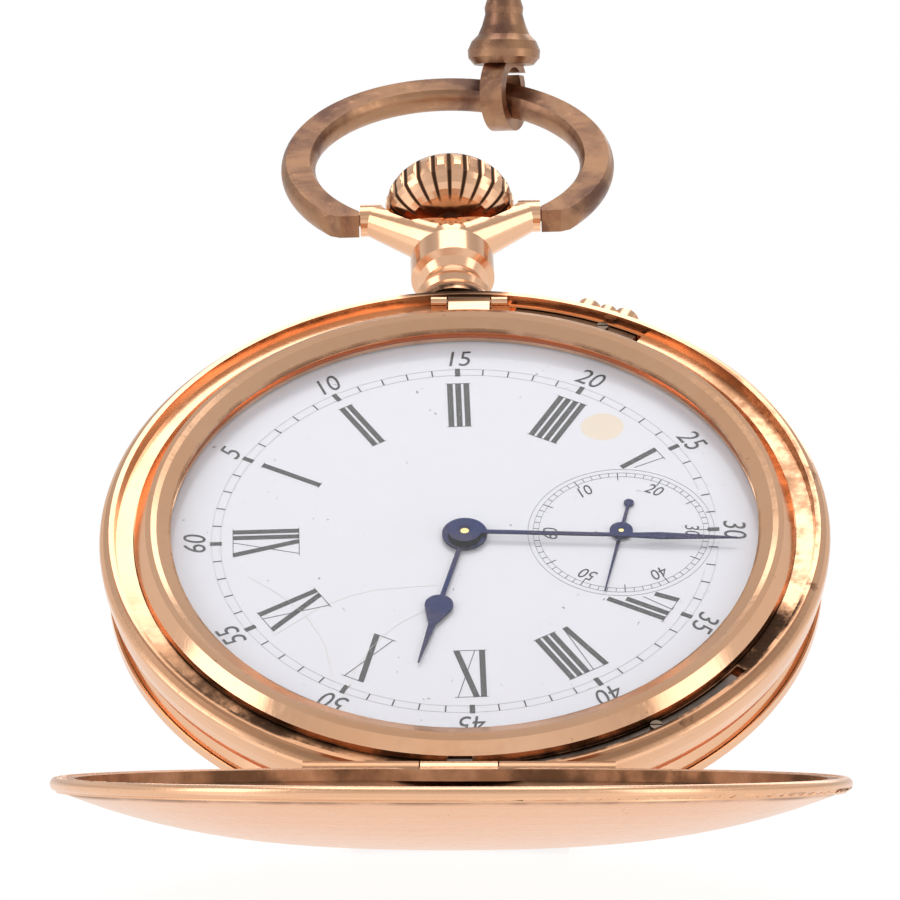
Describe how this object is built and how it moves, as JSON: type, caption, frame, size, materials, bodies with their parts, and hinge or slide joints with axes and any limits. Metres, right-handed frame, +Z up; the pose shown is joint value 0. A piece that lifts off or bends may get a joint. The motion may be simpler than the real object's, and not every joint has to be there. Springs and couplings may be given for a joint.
{
  "type": "pocket watch",
  "caption": "Hunter pocket watch lying open: hinged covers, enamel dial, fluted crown, round bow with chain swivel, and a jointed wheel train inside.",
  "frame": {"origin": "centre of the eye at the top of the swivel, where the chain's next link goes", "axes": "+Z up, +Y from the open front cover towards the crown, +X to the right seen from the front"},
  "size_m": [0.052, 0.1194, 0.0686],
  "materials": {
    "rose_gold": "polished rose gold, worn",
    "gilt": "gilt, satin",
    "hinge_metal": "worn pins",
    "aged_bronze": "oxidised rose gold",
    "blued_steel": "heat-blued steel",
    "steel": "polished steel",
    "nickel": "striped nickel",
    "brass": "gilt brass",
    "enamel": "white fired enamel",
    "crystal": "clear",
    "ruby": "polished"
  },
  "bodies": {
    "case": {"case_band": "rose_gold", "pendant": "rose_gold", "pusher_guard": "rose_gold", "lift_spring": "blued_steel", "lock_spring": "blued_steel", "spring_screws": "blued_steel", "front_hinge_pin": "hinge_metal", "back_hinge_pin": "hinge_metal", "dust_hinge_pin": "hinge_metal", "bezel_hinge_pin": "hinge_metal", "dial": "enamel", "main_plate": "nickel", "barrel_bridge": "nickel", "train_bridge": "nickel", "pallet_bridge": "nickel", "balance_cock": "nickel", "bridge_screws": "blued_steel", "case_screws": "blued_steel", "jewels": "ruby", "click_spring": "blued_steel"},
    "front_cover": {"front_cover": "rose_gold"},
    "back_cover": {"back_cover": "rose_gold"},
    "dust_cover": {"dust_cover": "gilt"},
    "bezel": {"bezel": "rose_gold", "crystal": "crystal"},
    "setting_pusher": {"setting_pusher": "rose_gold"},
    "crown_sleeve": {"crown_sleeve": "steel"},
    "crown": {"crown": "rose_gold", "winding_stem": "steel"},
    "bow": {"bow": "aged_bronze"},
    "swivel_hook": {"swivel_hook": "aged_bronze"},
    "swivel_gate": {"swivel_gate": "aged_bronze"},
    "swivel_eye": {"swivel_eye": "aged_bronze"},
    "winding_work": {"winding_pinion": "steel", "clutch_wheel": "steel"},
    "crown_wheel": {"crown_wheel": "steel"},
    "ratchet": {"ratchet_wheel": "steel", "barrel_arbor": "steel"},
    "click": {"click": "steel"},
    "cannon": {"cannon_pinion": "steel", "minute_hand": "blued_steel"},
    "minute_wheel": {"minute_wheel": "brass"},
    "hour": {"hour_wheel": "brass", "hour_hand": "blued_steel"},
    "barrel": {"barrel": "brass", "mainspring": "blued_steel"},
    "centre": {"centre_wheel": "brass"},
    "third": {"third_wheel": "brass"},
    "fourth": {"fourth_wheel": "brass", "seconds_hand": "blued_steel"},
    "escape": {"escape_wheel": "brass"},
    "pallet": {"pallet_fork": "steel"},
    "balance": {"balance_wheel": "brass", "hairspring": "blued_steel"},
    "regulator": {"regulator": "steel"}
  },
  "joints": [
    {"name": "front_cover_hinge", "type": "hinge", "parent": "case", "child": "front_cover", "pos_m": [-0.00221, -0.06427, -0.06155], "axis": [1, 0, 0], "range_deg": [-137, 0]},
    {"name": "back_cover_hinge", "type": "hinge", "parent": "case", "child": "back_cover", "pos_m": [-0.00221, -0.05972, -0.06599], "axis": [-1, 0, 0], "range_deg": [0, 95]},
    {"name": "dust_cover_hinge", "type": "hinge", "parent": "case", "child": "dust_cover", "pos_m": [-0.00221, -0.05808, -0.06401], "axis": [-1, 0, 0], "range_deg": [0, 80]},
    {"name": "bezel_hinge", "type": "hinge", "parent": "case", "child": "bezel", "pos_m": [-0.00221, -0.02664, -0.02779], "axis": [-1, 0, 0], "range_deg": [0, 80]},
    {"name": "bow_swing", "type": "hinge", "parent": "case", "child": "bow", "pos_m": [-0.00384, -0.01512, -0.02091], "axis": [0.999, 0.0319, 0.0297], "range_deg": [-70, 80]},
    {"name": "swivel_tilt", "type": "hinge", "parent": "bow", "child": "swivel_hook", "pos_m": [0, 0, -0.01105], "axis": [0.9301, -0.3117, -0.1941], "range_deg": [-25, 25]},
    {"name": "gate_hinge", "type": "hinge", "parent": "swivel_hook", "child": "swivel_gate", "pos_m": [0.00082, 0.00226, -0.0093], "axis": [0.9397, -0.342, 0], "range_deg": [-10, 0], "stiffness_Nm_per_rad": 0.0001},
    {"name": "swivel_turn", "type": "hinge", "parent": "swivel_hook", "child": "swivel_eye", "pos_m": [0, 0, -0.006], "axis": [0, 0, 1], "continuous": true},
    {"name": "crown_press", "type": "slide", "parent": "case", "child": "crown_sleeve", "axis": [0.0436, -0.7307, -0.6813], "range_m": [0, 0.0005], "stiffness_N_per_m": 600},
    {"name": "crown_turn", "type": "hinge", "parent": "crown_sleeve", "child": "crown", "pos_m": [-0.00388, -0.01446, -0.02029], "axis": [-0.0436, 0.7307, 0.6813], "continuous": true},
    {"name": "winding_pinion_turn", "type": "hinge", "parent": "case", "child": "winding_work", "pos_m": [-0.00295, -0.0301, -0.03488], "axis": [-0.0436, 0.7307, 0.6813], "continuous": true},
    {"name": "crown_wheel_turn", "type": "hinge", "parent": "case", "child": "crown_wheel", "pos_m": [-0.00684, -0.02941, -0.03875], "axis": [0, -0.682, 0.7314], "continuous": true},
    {"name": "ratchet_turn", "type": "hinge", "parent": "case", "child": "ratchet", "pos_m": [-0.00898, -0.03505, -0.044], "axis": [0, -0.682, 0.7314], "continuous": true},
    {"name": "click_pivot", "type": "hinge", "parent": "case", "child": "click", "pos_m": [-0.01525, -0.03569, -0.0446], "axis": [0, -0.682, 0.7314], "range_deg": [0, 10], "stiffness_Nm_per_rad": 0.0001},
    {"name": "setting_press", "type": "slide", "parent": "case", "child": "setting_pusher", "axis": [-0.3746, -0.6781, -0.6323], "range_m": [0, 0.0007], "stiffness_N_per_m": 300},
    {"name": "hands_set", "type": "hinge", "parent": "case", "child": "cannon", "pos_m": [-0.00221, -0.04402, -0.04485], "axis": [0, -0.682, 0.7314], "continuous": true},
    {"name": "minute_wheel_turn", "type": "hinge", "parent": "case", "child": "minute_wheel", "pos_m": [-0.00389, -0.04101, -0.04423], "axis": [0, -0.682, 0.7314], "continuous": true},
    {"name": "hour_turn", "type": "hinge", "parent": "case", "child": "hour", "pos_m": [-0.00221, -0.04388, -0.045], "axis": [0, -0.682, 0.7314], "continuous": true},
    {"name": "seconds_turn", "type": "hinge", "parent": "case", "child": "fourth", "pos_m": [0.00893, -0.04128, -0.04708], "axis": [0, -0.682, 0.7314], "continuous": true},
    {"name": "third_turn", "type": "hinge", "parent": "case", "child": "third", "pos_m": [0.00406, -0.03738, -0.04344], "axis": [0, -0.682, 0.7314], "continuous": true},
    {"name": "centre_turn", "type": "hinge", "parent": "case", "child": "centre", "pos_m": [-0.00221, -0.04163, -0.04741], "axis": [0, -0.682, 0.7314], "continuous": true},
    {"name": "barrel_turn", "type": "hinge", "parent": "case", "child": "barrel", "pos_m": [-0.00898, -0.03641, -0.04254], "axis": [0, -0.682, 0.7314], "continuous": true},
    {"name": "escape_turn", "type": "hinge", "parent": "case", "child": "escape", "pos_m": [0.01095, -0.04523, -0.05077], "axis": [0, -0.682, 0.7314], "continuous": true},
    {"name": "balance_swing", "type": "hinge", "parent": "case", "child": "balance", "pos_m": [0.00477, -0.04813, -0.05525], "axis": [0, -0.682, 0.7314], "range_deg": [-135, 135], "stiffness_Nm_per_rad": 0.0000008},
    {"name": "pallet_rock", "type": "hinge", "parent": "case", "child": "pallet", "pos_m": [0.00856, -0.0468, -0.05291], "axis": [0, -0.682, 0.7314], "range_deg": [-3, 3]},
    {"name": "regulator_turn", "type": "hinge", "parent": "case", "child": "regulator", "pos_m": [0.00477, -0.04731, -0.05612], "axis": [0, -0.682, 0.7314], "range_deg": [-20, 20]}
  ],
  "couplings": [
    {"joint": "dust_cover_hinge", "follows": "back_cover_hinge", "ratio": 0.8},
    {"joint": "winding_pinion_turn", "follows": "crown_turn", "ratio": 1},
    {"joint": "crown_wheel_turn", "follows": "crown_turn", "ratio": -0.64286},
    {"joint": "ratchet_turn", "follows": "crown_turn", "ratio": 0.5},
    {"joint": "minute_wheel_turn", "follows": "hands_set", "ratio": -0.33333},
    {"joint": "hour_turn", "follows": "hands_set", "ratio": 0.083333},
    {"joint": "third_turn", "follows": "seconds_turn", "ratio": -0.13333},
    {"joint": "centre_turn", "follows": "seconds_turn", "ratio": 0.016667},
    {"joint": "barrel_turn", "follows": "seconds_turn", "ratio": -0.002381},
    {"joint": "escape_turn", "follows": "seconds_turn", "ratio": -10},
    {"joint": "pallet_rock", "follows": "balance_swing", "ratio": -0.02}
  ]
}
